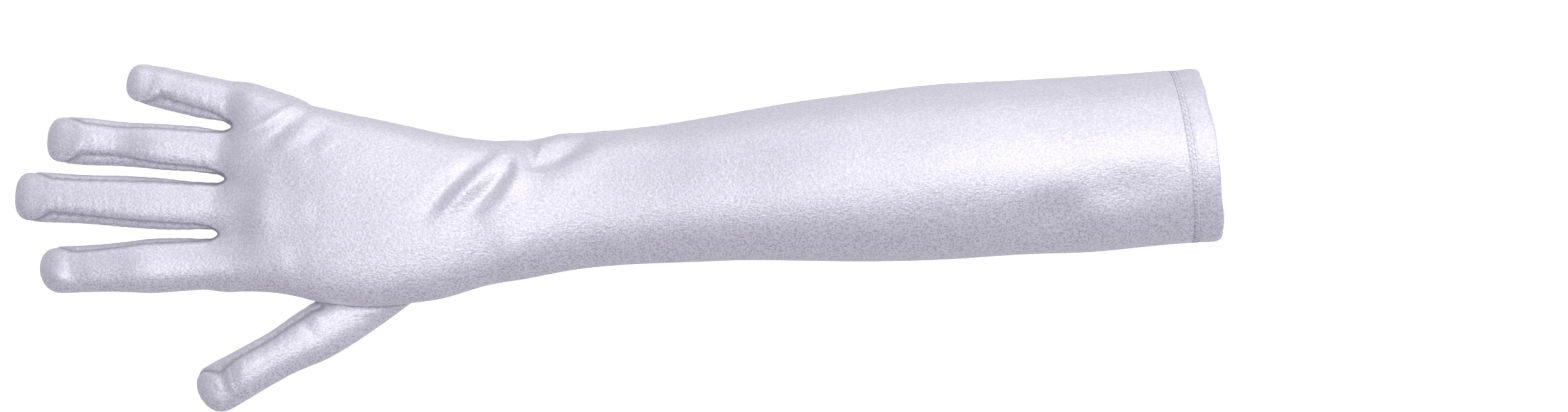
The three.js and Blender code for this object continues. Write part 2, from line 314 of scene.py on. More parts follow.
def fieldSlope(field, points, step=0.15):
    slope = np.empty_like(points)
    for axis in range(3):
        ahead, behind = points.copy(), points.copy()
        ahead[:, axis] += step
        behind[:, axis] -= step
        slope[:, axis] = (field(ahead) - field(behind)) / (2 * step)
    return slope


def settle(points, faces, field, rounds):
    # evens the net out along the surface, then puts it back on the form
    edges = np.vstack([faces[:, [i, (i + 1) % faces.shape[1]]] for i in range(faces.shape[1])])
    for turn in range(rounds):
        total = np.zeros_like(points)
        count = np.bincount(edges.ravel(), minlength=len(points))
        for axis in range(3):
            total[:, axis] = np.bincount(edges[:, 0], points[edges[:, 1], axis], len(points))
            total[:, axis] += np.bincount(edges[:, 1], points[edges[:, 0], axis], len(points))
        slope = fieldSlope(field, points)
        size = np.linalg.norm(slope, axis=1, keepdims=True)
        normal = slope / np.maximum(size, 1e-6)
        move = total / np.maximum(count, 1)[:, None] - points
        move -= normal * np.sum(move * normal, 1, keepdims=True)
        points = points + 0.6 * move
        value = field(points)[:, None]
        points = points - np.clip(value / np.maximum(size, 0.4), -0.8, 0.8) * normal
    return points


def vertexNormals(points, faces):
    a, b, c = (points[faces[:, i]] for i in range(3))
    normal = np.cross(b - a, c - a)
    total = np.zeros_like(points)
    for corner in range(3):
        for axis in range(3):
            total[:, axis] += np.bincount(faces[:, corner], normal[:, axis], len(points))
    return total / np.maximum(np.linalg.norm(total, axis=1, keepdims=True), 1e-12)


def quadsToTriangles(quads):
    return np.vstack([quads[:, [0, 1, 2]], quads[:, [0, 2, 3]]])


def plainMesh(name, points, faces):
    mesh = bpy.data.meshes.new(name)
    mesh.from_pydata((points * mm).tolist(), [], faces.tolist())
    mesh.shade_smooth()
    piece = bpy.data.objects.new(name, mesh)
    scene.collection.objects.link(piece)
    return piece


def cutAlong(points, faces, values, nearEnd=0.22):
    # splits the faces where a value crosses nothing, after pulling close corners on to the crossing
    values = values.copy()
    points = points.copy()
    edges = np.vstack([faces[:, [0, 1]], faces[:, [1, 2]], faces[:, [2, 0]]])
    edges = np.unique(np.sort(edges, 1), axis=0)
    a, b = edges[:, 0], edges[:, 1]
    crossing = values[a] * values[b] < 0
    a, b = a[crossing], b[crossing]
    t = values[a] / (values[a] - values[b])
    place = points[a] + (points[b] - points[a]) * t[:, None]
    for end, close in ((a, t < nearEnd), (b, t > 1 - nearEnd)):
        points[end[close]] = place[close]
        values[end[close]] = 0
    edges = np.column_stack([a, b])
    crossing = values[a] * values[b] < 0
    edges = edges[crossing]
    t = (values[edges[:, 0]] / (values[edges[:, 0]] - values[edges[:, 1]]))[:, None]
    made = points[edges[:, 0]] * (1 - t) + points[edges[:, 1]] * t
    total = len(points)
    keys = edges[:, 0].astype(np.int64) * total + edges[:, 1]
    order = np.argsort(keys)
    keys = keys[order]

    def middle(u, v):
        key = np.minimum(u, v).astype(np.int64) * total + np.maximum(u, v)
        if len(keys) == 0:
            return np.full(len(u), -1)
        spot = np.clip(np.searchsorted(keys, key), 0, len(keys) - 1)
        return np.where(keys[spot] == key, total + order[spot], -1)

    mids = np.column_stack([middle(faces[:, i], faces[:, (i + 1) % 3]) for i in range(3)])
    cuts = (mids >= 0).sum(1)
    result = [faces[cuts == 0]]
    for i in range(3):
        one = (cuts == 1) & (mids[:, i] >= 0)
        f, m = faces[one], mids[one]
        u, v, w = f[:, i], f[:, (i + 1) % 3], f[:, (i + 2) % 3]
        result.append(np.column_stack([u, m[:, i], w]))
        result.append(np.column_stack([m[:, i], v, w]))
        two = (cuts == 2) & (mids[:, i] < 0)
        f, m = faces[two], mids[two]
        u, v, w = f[:, i], f[:, (i + 1) % 3], f[:, (i + 2) % 3]
        p, q = m[:, (i + 1) % 3], m[:, (i + 2) % 3]
        result.append(np.column_stack([u, v, p]))
        result.append(np.column_stack([u, p, q]))
        result.append(np.column_stack([p, w, q]))
    return np.vstack([points, made]), np.vstack(result)


def faceSign(faces, values):
    # a face's side is that of its corner that lies furthest from the crossing
    corner = values[faces]
    furthest = np.abs(corner).argmax(1)
    return corner[np.arange(len(faces)), furthest]


seamPlan = {
    "digitStart": 3.0,  # the hand's cloth ends this far up each finger
    "regionMargin": 1.2,  # a digit's region reaches this far outside its sides
    "sideBand": 5.2,  # half the height of a fourchette
    "bandTaper": 0.12,  # the share of it that is lost towards the fingertip
    "bandFrom": 0.3,  # a fourchette lies beyond this share of the digit's half width
    "bandMargin": 2.2,  # and reaches this far outside it
    "bandEnd": 15.0,  # it starts to narrow this far from the fingertip
    "bandStop": 3.0,  # and ends this far from it
    "webReach": 8.5,  # how far a fourchette turns back into the hand
    "thumbSeam": 6.3,  # height of the thumb's inner seam over its middle
    "thumbSeamEnd": 12, "thumbSeamFall": 11,  # it starts to fall this far from the tip, over this length
    "thumbMargin": 4, "thumbMiddleY": -45, "thumbHalfY": 30,  # the room that the thumb's region fills
    "setInSlope": 1.4,  # how fast that region's value grows with the distance from its seam
    "bandLift": 1.7, "bandLiftOver": 9,  # the fourchettes sit higher on the index side of a finger
    "sleeveEnd": 232.0,
    "closingEnd": 350.0,
    "closingSide": 8,  # the closing seam lies on the little finger's side of this
    "hemDepth": (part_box("hem_band")[1].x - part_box("hem_band")[0].x) / mm,
}
bendZones = {  # where a digit's cloth turns from one body to the next, along the digit
    "index": ((3, 16), 24, (29.5, 45)),
    "middle": ((3, 16), 24, (29.5, 45)),
    "ring": ((3, 16), 24, (29.5, 45)),
    "little": ((3, 12.5), 15, (18, 31.5)),
    "thumb": (None, 7, (11, 26)),
}


def digitHeight(points, form):
    along = digitPlace(points, form)[0]
    return points[:, 2] - (topAt(along, form) / 2 - digitSink)


def digitRegion(points, name, start):
    form = digitForm[name]
    along, across = digitPlace(points, form)
    return np.minimum(along - start, halfWidthAt(along, form) + seamPlan["regionMargin"] - np.abs(across))


def bandShare(along, form):
    # 1 along a fourchette, falling to nothing where it ends
    start = form["length"] - seamPlan["bandEnd"]
    return 1 - easeStep((along - start) / (seamPlan["bandEnd"] - seamPlan["bandStop"]))


def bandHalf(along, form):
    width = seamPlan["sideBand"] * (1 - seamPlan["bandTaper"] * np.clip(along / form["length"], 0, 1))
    return width * bandShare(along, form) - 0.05


def sideBand(points, name, side):
    # above nothing on a fourchette: side is 1 towards the little finger, -1 towards the index side
    form = digitForm[name]
    along, across = digitPlace(points, form)
    half = halfWidthAt(along, form)
    lift = seamPlan["bandLift"] * easeStep(along / seamPlan["bandLiftOver"])
    lift = lift * bandShare(along, form) * (side < 0)
    inBand = bandHalf(along, form) - np.abs(digitHeight(points, form) - lift)
    out = side * across
    toSide = np.minimum(out - seamPlan["bandFrom"] * half, half + seamPlan["bandMargin"] - out)
    return np.minimum(np.minimum(inBand, toSide), along + seamPlan["webReach"])


bandSides = [("index", 1), ("middle", -1), ("middle", 1), ("ring", -1), ("ring", 1), ("little", -1)]


def thumbRegion(points):
    thumb = digitField(points, digitForm["thumb"])
    apart = np.minimum(handField(points) - thumb, seamPlan["thumbMargin"] - thumb)
    return np.minimum(apart, seamPlan["thumbHalfY"] - np.abs(points[:, 1] - seamPlan["thumbMiddleY"]))


def armMiddle(points):
    at = cuffX - points[:, 0]
    stations = np.array(armForm["stations"], float)
    return points[:, 2] - (smoothCurve(at, stations[:, 0], stations[:, 3]) / 2 - armForm["sink"])


def alongPath(points, path):
    # distance from a path seen from above, and the share of its length
    path = np.asarray(path, float)
    best = np.full(len(points), 1e9)
    share = np.zeros(len(points))
    lengths = np.linalg.norm(np.diff(path, axis=0), axis=1)
    whole = lengths.sum()
    done = 0
    for first, second, length in zip(path[:-1], path[1:], lengths):
        way = (second - first) / length
        away = points[:, :2] - first
        t = np.clip(away @ way, 0, length)
        off = away - t[:, None] * way
        distance = np.linalg.norm(off, axis=1)
        closer = distance < best
        best = np.where(closer, distance, best)
        share = np.where(closer, (done + t) / whole, share)
        done += length
    return best, share


def seamPoints(rest, points, start, end):
    # the points along the closing seam between two places
    onSeam = (np.abs(armMiddle(rest)) < 1e-6) & (rest[:, 1] > seamPlan["closingSide"])
    onSeam &= (rest[:, 0] > start) & (rest[:, 0] < end)
    return points[onSeam][np.argsort(points[onSeam, 0])]


seamShape = {
    "groove": 0.62, "grooveWidth": 0.7,
    "lip": 0.26, "lipAt": 1.9, "lipWidth": 0.9,
    # shadeWidth: half width of the painted shade in the seams
    "shadeWidth": 0.7,
    "pucker": 0.06, "puckerLength": 4.2, "puckerReach": 2.6,
    "foldsFrom": 6,  # folds begin at this height, and are full at twice it
    "longSlack": 0.16, "shortSlack": 0.10,  # two slow waves that let the cloth lie loose
    "fingerSlack": 0.4,  # the share of them that is left beyond the knuckles
    "knucklesX": -110, "knucklesOver": 30,
}

# Each fold: its path seen from above, how high it stands (below nothing it sinks), and its half width.
foldPlan = [
    # over the wrist, on the little finger's side
    (((-66, 1), (-57, 10), (-48, 17), (-39, 22)), -1.25, 3.2),
    (((-60, 0), (-51, 8), (-39, 18), (-34, 22)), 1.5, 3.2),
    (((-50, 1), (-42, 7), (-35, 14), (-33, 20)), -1.15, 3.0),
    (((-45, -4), (-36, 4), (-30, 14), (-31, 23)), 1.3, 4.2),
    (((-28, 24), (-25, 16), (-18, 17), (-4, 24)), -2.2, 3.4),
    (((-23, 10), (-14, 12), (0, 18), (14, 22)), 0.8, 4.6),
    (((-24, 22), (-14, 25), (2, 26)), 1.3, 2.2),
    # from the web beside the little finger
    (((-130, 37), (-122, 39), (-116, 42), (-109, 45)), 0.7, 1.4),
    (((-123, 30), (-114, 37), (-108, 41), (-104, 44)), -0.6, 2.2),
    (((-118, 28), (-111, 33), (-103, 39)), 0.45, 2.6),
    (((-108, 29), (-98, 36)), -0.28, 1.8),
    (((-104, 26), (-94, 33)), 0.22, 2.2),
    # across the thumb
    (((-145, -48), (-143.4, -57), (-141, -60)), 0.4, 1.0),
    (((-113, -29), (-108, -36)), 0.5, 1.3),
    (((-116, -33), (-110, -42)), -0.45, 1.7),
    # at the index finger's tip
    (((-210, -7), (-199, -14)), 0.5, 1.8),
    # on the sleeve, thumb side
    (((140, -25), (158, -20), (176, -14), (204, -7)), -1.2, 8.0),
    (((156, -28), (180, -24), (208, -17)), 0.5, 8.0),
    (((121.5, -13), (121, -27)), -0.4, 0.8),
    (((123.2, -13), (123, -27)), 0.3, 1.0),
]

# Each slope that faces the fingertips: its middle, its reach each way, and how far it drops.
slopePlan = [
    ((-131, 3.7), (8, 9.5), 1.9),
    ((-128, 17), (7, 8), 1.0),
    ((-162.5, 60), (3.6, 5), 0.5),
    ((-143, -54), (6, 8), 1.3),
    ((-40, -14), (10, 10), 1.7),
    ((-176, -11.5), (9, 9), 1.2),
    ((-169, 32.5), (8, 10), 0.7),
    ((167, -18), (13, 8), 3.6),
]


def seamDistance(points):
    at = cuffX - points[:, 0]
    distance = np.full(len(points), 99.0)
    for name, side in bandSides:
        distance = np.minimum(distance, np.abs(sideBand(points, name, side)))
    littleSide = (points[:, 1] > seamPlan["closingSide"]) & (at < seamPlan["closingEnd"] + 2)
    distance = np.where(littleSide, np.minimum(distance, np.abs(armMiddle(points))), distance)
    for name in fingerNames:
        form = digitForm[name]
        along, across = digitPlace(points, form)
        here = digitRegion(points, name, seamPlan["digitStart"]) > 0
        closed = across > 0 if name == "little" else along > form["length"] - seamPlan["bandStop"] - 1
        if name == "index":
            closed = closed & (across > -2)
        height = np.abs(digitHeight(points, form))
        distance = np.where(here & closed, np.minimum(distance, height), distance)
    form = digitForm["thumb"]
    along, across = digitPlace(points, form)
    setIn = thumbRegion(points)
    distance = np.minimum(distance, np.abs(setIn) / seamPlan["setInSlope"])
    inner = np.abs(digitHeight(points, form) - thumbSeamHeight(along, form))
    onThumb = (setIn > 0) & (across > -1)
    return np.where(onThumb, np.minimum(distance, inner), distance)


def thumbSeamHeight(along, form):
    past = along - form["length"] + seamPlan["thumbSeamEnd"]
    return seamPlan["thumbSeam"] * (1 - easeStep(past / seamPlan["thumbSeamFall"]))


def clothRelief(points):
    distance = seamDistance(points)
    shape = seamShape
    relief = -shape["groove"] * np.exp(-((distance / shape["grooveWidth"]) ** 2))
    relief += shape["lip"] * np.exp(-(((distance - shape["lipAt"]) / shape["lipWidth"]) ** 2))
    wave = np.sin(points[:, 0] * 2 * math.pi / shape["puckerLength"] + 1.7 * np.sin(points[:, 0] * 0.31))
    relief += shape["pucker"] * wave * np.exp(-((distance / shape["puckerReach"]) ** 2))
    upper = easeStep((points[:, 2] - shape["foldsFrom"]) / shape["foldsFrom"])
    for path, height, width in foldPlan:
        away, share = alongPath(points, path)
        ends = np.sin(math.pi * np.clip(share * 0.9 + 0.05, 0, 1)) ** 0.8
        relief += height * ends * upper * np.exp(-((away / width) ** 2))
    for middle, reach, drop in slopePlan:
        u, v = ((points[:, axis] - middle[axis]) / reach[axis] for axis in (0, 1))
        relief += drop * upper * u * np.exp(-u * u - v * v)
    x, y = points[:, 0], points[:, 1]
    slack = shape["longSlack"] * np.sin(x / 15 + 1.3 * np.sin(y / 12))
    slack = slack + shape["shortSlack"] * np.sin(x / 8.5 - y / 10 + points[:, 2] / 9)
    onHand = easeStep((x - shape["knucklesX"]) / shape["knucklesOver"])
    return relief + slack * (shape["fingerSlack"] + (1 - shape["fingerSlack"]) * onHand)


def seamShadeAt(points):
    # how far down in a seam each point lies; the materials darken the colour by it as painted shade in the
    # seams
    return np.exp(-((seamDistance(points) / seamShape["shadeWidth"]) ** 2))


clothWall = 0.55


def clothPiece(name, cloth, faces):
    points, normals, shade = cloth
    used, packed = np.unique(faces, return_inverse=True)
    packed = packed.reshape(-1, 3)
    outer, normal = points[used], normals[used]
    count = len(used)
    edges = np.vstack([packed[:, [0, 1]], packed[:, [1, 2]], packed[:, [2, 0]]])
    key = np.sort(edges, 1)
    _, back, uses = np.unique(key[:, 0] * count + key[:, 1], return_inverse=True, return_counts=True)
    rim = edges[uses[back.ravel()] == 1]
    inner = outer - normal * clothWall
    walls = np.vstack([
        np.column_stack([rim[:, 1], rim[:, 0], rim[:, 0] + count]),
        np.column_stack([rim[:, 1], rim[:, 0] + count, rim[:, 1] + count]),
    ])
    allFaces = np.vstack([packed, packed[:, ::-1] + count, walls])
    piece = plainMesh(name, np.vstack([outer, inner]), allFaces)
    piece.data.normals_split_custom_set_from_vertices(np.vstack([normal, -normal]).tolist())
    # painted shade: each point's depth in a seam, which darkens the cloth's colour there
    seamShade = piece.data.attributes.new("seamShade", "FLOAT", "POINT")
    seamShade.data.foreach_set("value", np.tile(shade[used], 2).astype(np.float32))
    a, b, c = (outer[packed[:, corner]] for corner in range(3))
    piece["clothArea"] = float(np.linalg.norm(np.cross(b - a, c - a), axis=1).sum() / 2 * mm * mm)
    return piece


def splitAll(points, faces, fields):
    for field in fields:
        points, faces = cutAlong(points, faces, field(points))
    return points, faces


def leanMouth(points):
    # the mouth of the sleeve is cut a little askew
    moved = points.copy()
    share = easeStep((points[:, 0] - cuffX + hemForm["leanOver"]) / hemForm["leanOver"])
    moved[:, 0] -= hemForm["lean"] * points[:, 1] * share
    return moved


hemForm = {
    "lean": 0.06, "leanOver": 70.0,
    "around": 420,
    "swell": 0.35,
    "edgeRadius": 0.75,
    "innerDepth": 12.0,
    "rowsAt": 9.0, "rowsApart": 2.0, "rowDepth": 0.18, "rowWidth": 0.45,
    "ripple": 0.07, "ripples": 98, "rippleReach": 2.5,
    "wave": 0.22, "waveReach": 8,
}


def ringAt(x, count):
    # the points where rays from the middle of the sleeve meet its surface, and the way out at each
    angle = np.arange(count) * 2 * math.pi / count
    ray = np.column_stack([np.zeros(count), np.cos(angle), np.sin(angle)])
    middle = np.array([x, 0.0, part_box("hem_band")[1].z / mm / 2])
    low, high = np.full(count, 5.0), np.full(count, 60.0)
    for turn in range(40):  # each turn halves the span that holds the surface
        half = (low + high) / 2
        inside = gloveField(middle + ray * half[:, None]) < 0
        low = np.where(inside, half, low)
        high = np.where(inside, high, half)
    points = middle + ray * low[:, None]
    tangent = np.roll(points, -1, 0) - np.roll(points, 1, 0)
    out = np.column_stack([np.zeros(count), tangent[:, 2], -tangent[:, 1]])
    return points, out / np.linalg.norm(out, axis=1, keepdims=True)


def buildHem():
    form = hemForm
    depth = seamPlan["hemDepth"]
    radius = form["edgeRadius"]
    profile = []
    for inward in np.linspace(depth, radius, 26):
        rows = np.abs(inward - form["rowsAt"]) - form["rowsApart"] / 2
        sunk = -form["rowDepth"] * math.exp(-((rows / form["rowWidth"]) ** 2))
        swell = form["swell"] * float(easeStep((form["rowsAt"] - inward) / 5)) * float(easeStep(inward / 2))
        profile.append((inward, sunk + swell))
    for turn in np.linspace(0, math.pi, 12)[1:-1]:
        profile.append((radius - radius * math.sin(turn), -radius + radius * math.cos(turn)))
    for inward in np.linspace(radius, form["innerDepth"], 12):
        profile.append((inward, -2 * radius))
    profile.append((form["innerDepth"], -radius))
    profile.append((depth, -radius + 0.15))
    count = form["around"]
    rings = []
    for inward, outward in profile:
        points, out = ringAt(cuffX - inward, count)
        along = np.arange(count) / count * 2 * math.pi
        ripple = form["ripple"] * np.sin(form["ripples"] * along)
        ripple = ripple * math.exp(-(((inward - form["rowsAt"]) / form["rippleReach"]) ** 2))
        wave = form["wave"] * (np.sin(5 * along + 0.8) + 0.6 * np.sin(11 * along))
        wave = wave * float(easeStep(1 - inward / form["waveReach"]))
        points = points + out * (outward + ripple)[:, None]
        points[:, 0] += wave
        rings.append(leanMouth(points))
    points = np.vstack(rings)
    faces = []
    total = len(rings)
    for i in range(total):
        here = i * count + np.arange(count)
        there = (i + 1) % total * count + np.arange(count)
        faces.append(np.column_stack([here, np.roll(here, -1), np.roll(there, -1), there]))
    quads = np.vstack(faces)
    return plainMesh("hem", points, quadsToTriangles(quads))


def finishCloth(piece, material, nodes, bodies, zone=None):
    if zone is None:
        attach(piece, bodies[0])
    else:
        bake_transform(piece)
    if nodes:
        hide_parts(*nodes)
    piece.data.materials.append(material)
    return piece


def digitZone(name, start, end):
    form = digitForm[name]
    return np.array([form["root"] + form["along"] * start, form["root"] + form["along"] * end])


# Edges are laid at these distances from the seams, so that the mesh can hold their shape.
seamEdges = (0.9, 2.0)


def buildCloth(field, low, high, step, fields, relief):
    points, quads = surfaceNet(field, low, high, step)
    points = settle(points, quads, field, rounds=3)
    points, faces = splitAll(points, quadsToTriangles(quads), fields)
    for offset in seamEdges:
        points, faces = cutAlong(points, faces, np.minimum(seamDistance(points), 9) - offset, nearEnd=0.3)
    rest = points
    points = points + vertexNormals(points, faces) * relief(points)[:, None]
    points[:, 2] = np.maximum(points[:, 2], 0)
    return rest, points, faces


satin = {
    "base": (0.83, 0.822, 0.88), "roughness": 0.40, "metallic": 0.4,
    "roughnessSwing": 0.08, "sheen": 0.25, "sheenRoughness": 0.35,
    # sparkle: strength of the painted glints in the colour
    "grainSize": 0.0007, "grainStretch": 0.6, "grainDepth": 0.00020, "sparkle": 0.20,
}


def connect(tree, socket, value):
    # sets a socket, or links it where the value is another node's output
    if isinstance(value, bpy.types.NodeSocket):
        tree.links.new(value, socket)
    else:
        socket.default_value = value


def fill(tree, node, values):
    for socketName, value in values.items():
        connect(tree, node.inputs[socketName], value)


def filledNode(tree, kind, values, operation=None):
    # a new node with its first sockets filled; gives its first output
    node = tree.nodes.new(kind)
    if operation:
        node.operation = operation
    for socket, value in zip(node.inputs, values):
        connect(tree, socket, value)
    return node.outputs[0]


def mathNode(tree, operation, *values):
    return filledNode(tree, "ShaderNodeMath", values, operation)


def vectorMathNode(tree, operation, *values):
    return filledNode(tree, "ShaderNodeVectorMath", values, operation)


def vectorNode(tree, *values):
    return filledNode(tree, "ShaderNodeCombineXYZ", values)


def rangeNode(tree, value, fromEnds, toEnds):
    node = tree.nodes.new("ShaderNodeMapRange")
    ends = dict(zip(("From Min", "From Max", "To Min", "To Max"), (*fromEnds, *toEnds)))
    fill(tree, node, {"Value": value, **ends})
    return node.outputs["Result"]


def noiseNode(tree, place, scale, detail, roughness=0.5):
    node = tree.nodes.new("ShaderNodeTexNoise")
    fill(tree, node, {"Vector": place, "Scale": scale, "Detail": detail, "Roughness": roughness})
    return node.outputs["Fac"]


grainForm = {
    "speckEnds": (0.36, 0.68), "sparkleEnds": (-0.38, 0.62),
    "paintedGlintSideGain": 4.0,  # the painted glints of the speckle are this much stronger on the thumb's side, which lies half lit
    "wanderScale": 45.0, "wanderEnds": (0.96, 1.04),
    "brightest": 1.14,
    # how much the painted seam shade darkens the colour
    "seamShade": 0.34,
}


def grainGroup():
    # a fine speckle that runs along the cloth, with a slow wander of tone under it; the speckle in the colour
    # is painted glints, stronger on the half-lit thumb side, and the colour carries painted shade in the
    # seams
    group = bpy.data.node_groups.new("satinGrain", "ShaderNodeTree")
    for socketName in ("Size", "Stretch", "Sparkle"):
        group.interface.new_socket(socketName, in_out="INPUT", socket_type="NodeSocketFloat")
    for socketName in ("Height", "Tone"):
        group.interface.new_socket(socketName, in_out="OUTPUT", socket_type="NodeSocketFloat")
    nodes, links = group.nodes, group.links
    entry = nodes.new("NodeGroupInput")
    leave = nodes.new("NodeGroupOutput")
    place = nodes.new("ShaderNodeTexCoord").outputs["Object"]
    stretch = vectorNode(group, entry.outputs["Stretch"], 1.0, 1.0)
    stretched = vectorMathNode(group, "MULTIPLY", place, stretch)
    scale = mathNode(group, "DIVIDE", 1.0, entry.outputs["Size"])
    grain = noiseNode(group, stretched, scale, 2.0, 0.6)
    # painted glints: bright and dark specks of reflected light put into the colour, stronger where the cloth
    # faces the half-lit thumb side
    speck = noiseNode(group, place, scale, 1.0)
    sparkle = rangeNode(group, speck, grainForm["speckEnds"], grainForm["sparkleEnds"])
    facing = nodes.new("ShaderNodeNewGeometry")
    parts = nodes.new("ShaderNodeSeparateXYZ")
    links.new(facing.outputs["Normal"], parts.inputs[0])
    paintedGlintSideBoost = rangeNode(group, parts.outputs["Y"], (0.0, -1.0), (1.0, grainForm["paintedGlintSideGain"]))
    amount = mathNode(group, "MULTIPLY", paintedGlintSideBoost, entry.outputs["Sparkle"])
    bright = mathNode(group, "MULTIPLY", sparkle, amount)
    wander = noiseNode(group, place, grainForm["wanderScale"], 2.0)
    slow = rangeNode(group, wander, (0.0, 1.0), grainForm["wanderEnds"])
    tone = mathNode(group, "MINIMUM", mathNode(group, "ADD", bright, slow), grainForm["brightest"])
    # painted shade: the colour is darkened down in the seams, where shade falls
    seam = nodes.new("ShaderNodeAttribute")
    seam.attribute_name = "seamShade"
    depth = mathNode(group, "MULTIPLY_ADD", seam.outputs["Fac"], -grainForm["seamShade"], 1.0)
    links.new(grain, leave.inputs["Height"])
    links.new(mathNode(group, "MULTIPLY", tone, depth), leave.inputs["Tone"])
    return group


def clothMaterial(name, tint, roughness, grain):
    material = bpy.data.materials.new(name)
    material.use_nodes = True
    tree = material.node_tree
    texture = tree.nodes.new("ShaderNodeGroup")
    texture.node_tree = grain
    grainSizes = {"Size": satin["grainSize"], "Stretch": satin["grainStretch"], "Sparkle": satin["sparkle"]}
    fill(tree, texture, grainSizes)
    height = texture.outputs["Height"]
    colour = tree.nodes.new("ShaderNodeVectorMath")
    colour.operation = "SCALE"
    colour.inputs[0].default_value = tint
    tree.links.new(texture.outputs["Tone"], colour.inputs["Scale"])
    bump = tree.nodes.new("ShaderNodeBump")
    fill(tree, bump, {"Strength": 1.0, "Distance": satin["grainDepth"], "Height": height})
    swing = satin["roughnessSwing"]
    fill(tree, tree.nodes["Principled BSDF"], {
        "Base Color": colour.outputs[0],
        "Metallic": satin["metallic"],
        "Roughness": rangeNode(tree, height, (0.0, 1.0), (roughness - swing, roughness + swing)),
        "Sheen Weight": satin["sheen"],
        "Sheen Roughness": satin["sheenRoughness"],
        "Normal": bump.outputs["Normal"],
    })
    return material


print("glove: materials")
grain = grainGroup()
satinMaterial = clothMaterial("satin", satin["base"], satin["roughness"], grain)
satinSide = clothMaterial("satinSide", (0.80, 0.79, 0.85), satin["roughness"] + 0.03, grain)
satinThumb = clothMaterial("satinThumb", satin["base"], satin["roughness"], grain)
satinHem = clothMaterial("satinHem", satin["base"], satin["roughness"] + 0.02, grain)
threadMaterial = clothMaterial("thread", (0.79, 0.78, 0.84), 0.55, grain)

print("glove: sleeve cloth")
sleeveNet = {"step": 1.2, "height": 61.0, "halfWidth": 35.0, "low": -1.8}
netOverlap = 5
wristX = cuffX - seamPlan["sleeveEnd"]
hemX = cuffX - seamPlan["hemDepth"]
rest, points, faces = buildCloth(
    gloveField,
    (wristX - netOverlap, -sleeveNet["halfWidth"], sleeveNet["low"]),
    (hemX + netOverlap, sleeveNet["halfWidth"], sleeveNet["height"]),
    sleeveNet["step"],
    [lambda p: p[:, 0] - wristX, lambda p: hemX - p[:, 0], armMiddle],
    clothRelief,
)
points = leanMouth(points)
cloth = (points, vertexNormals(points, faces), seamShadeAt(rest))
keep = (faceSign(faces, rest[:, 0] - wristX) > 0) & (faceSign(faces, hemX - rest[:, 0]) > 0)
sleeveCloth = clothPiece("sleeveCloth", cloth, faces[keep])
finishCloth(sleeveCloth, satinMaterial, ["sleeve_trank"], ["sleeve"])
sleeveSeam = seamPoints(rest, points, wristX, hemX)

print("glove: hand and finger cloth")
handNet = {"step": 0.8, "low": (-224, -72, -1.6), "top": 41.0, "side": 70.0}
farOff = 9  # a distance that reaches no seam


def closingSeam(points):
    return np.where(points[:, 1] > seamPlan["closingSide"], armMiddle(points), farOff)


def middleSeam(points, name):
    return np.where(digitRegion(points, name, 0) > 0, digitHeight(points, digitForm[name]), farOff)


def thumbFarRegion(points):
    along = digitPlace(points, digitForm["thumb"])[0]
    return np.minimum(thumbRegion(points), along - bendZones["thumb"][1])


cuts = [lambda p: wristX - p[:, 0], closingSeam]
for name, side in bandSides:
    cuts.append(lambda p, name=name, side=side: sideBand(p, name, side))
for name in fingerNames:
    cuts.append(lambda p, name=name: digitRegion(p, name, seamPlan["digitStart"]))
    cuts.append(lambda p, name=name: digitRegion(p, name, bendZones[name][1]))
    cuts.append(lambda p, name=name: middleSeam(p, name))
cuts.append(thumbRegion)
cuts.append(thumbFarRegion)
handHigh = (wristX + netOverlap, handNet["side"], handNet["top"])
rest, points, faces = buildCloth(gloveField, handNet["low"], handHigh, handNet["step"], cuts, clothRelief)
cloth = (points, vertexNormals(points, faces), seamShadeAt(rest))


def isPositive(values):
    return faceSign(faces, values) > 0


hand = isPositive(wristX - rest[:, 0])
thumb = isPositive(thumbRegion(rest))
thumbAlong = digitPlace(rest, digitForm["thumb"])[0]
thumbFar = isPositive(thumbAlong - bendZones["thumb"][1])
inBand = {}
for name, side in bandSides:
    inBand[name, side] = isPositive(sideBand(rest, name, side)) & ~thumb
free = hand & ~thumb
taken = np.zeros(len(faces), bool)
for name in fingerNames:
    whole = isPositive(digitRegion(rest, name, seamPlan["digitStart"])) & ~thumb & ~taken
    far = isPositive(digitRegion(rest, name, bendZones[name][1])) & whole
    upper = isPositive(digitHeight(rest, digitForm[name]))
    littleSide = inBand.get((name, 1), np.zeros(len(faces), bool))
    indexSide = inBand.get((name, -1), np.zeros(len(faces), bool))
    panels = {
        "little_side_fourchette": littleSide,
        "index_side_fourchette": indexSide,
        "back": upper & ~littleSide & ~indexSide,
        "palm": ~upper & ~littleSide & ~indexSide,
    }
    if name == "index":
        panels = {"little_side_fourchette": littleSide, "trank": ~littleSide}
    if name == "little":
        del panels["little_side_fourchette"]
    baseZone, split, tipZone = bendZones[name]
    lower, tip = f"{name}_lower", f"{name}_tip"
    stretches = (
        (lower, whole & ~far, ["hand", lower], baseZone, f"{name}_base_bend", split - seamPlan["digitStart"]),
        (tip, far, [lower, tip], tipZone, f"{name}_middle_bend", digitForm[name]["length"] - split),
    )
    for part, region, bodies, zone, bend, length in stretches:
        for panel, mask in panels.items():
            piece = clothPiece(f"{part}_{panel}_cloth", cloth, faces[region & mask])
            side = panel.endswith("fourchette")
            nodes = [f"{part}_{panel}"] + ([bend] if panel in ("back", "trank") else [])
            finishCloth(
                piece, satinSide if side else satinMaterial,
                nodes, bodies, digitZone(name, *zone),
            )
    taken |= whole
webs = {
    "index_middle_web": (("index", 1), ("middle", -1)),
    "middle_ring_web": (("middle", 1), ("ring", -1)),
    "ring_little_web": (("ring", 1), ("little", -1)),
}
for web, sides in webs.items():
    mask = (inBand[sides[0]] | inBand[sides[1]]) & free & ~taken
    piece = clothPiece(web + "_cloth", cloth, faces[mask])
    finishCloth(piece, satinSide, [web], ["hand"])
    taken |= mask
wristBend = (236, 264)  # how far from the cuff the wrist's bend starts and ends
wristZone = np.array([[cuffX - away, 0, 0] for away in wristBend])
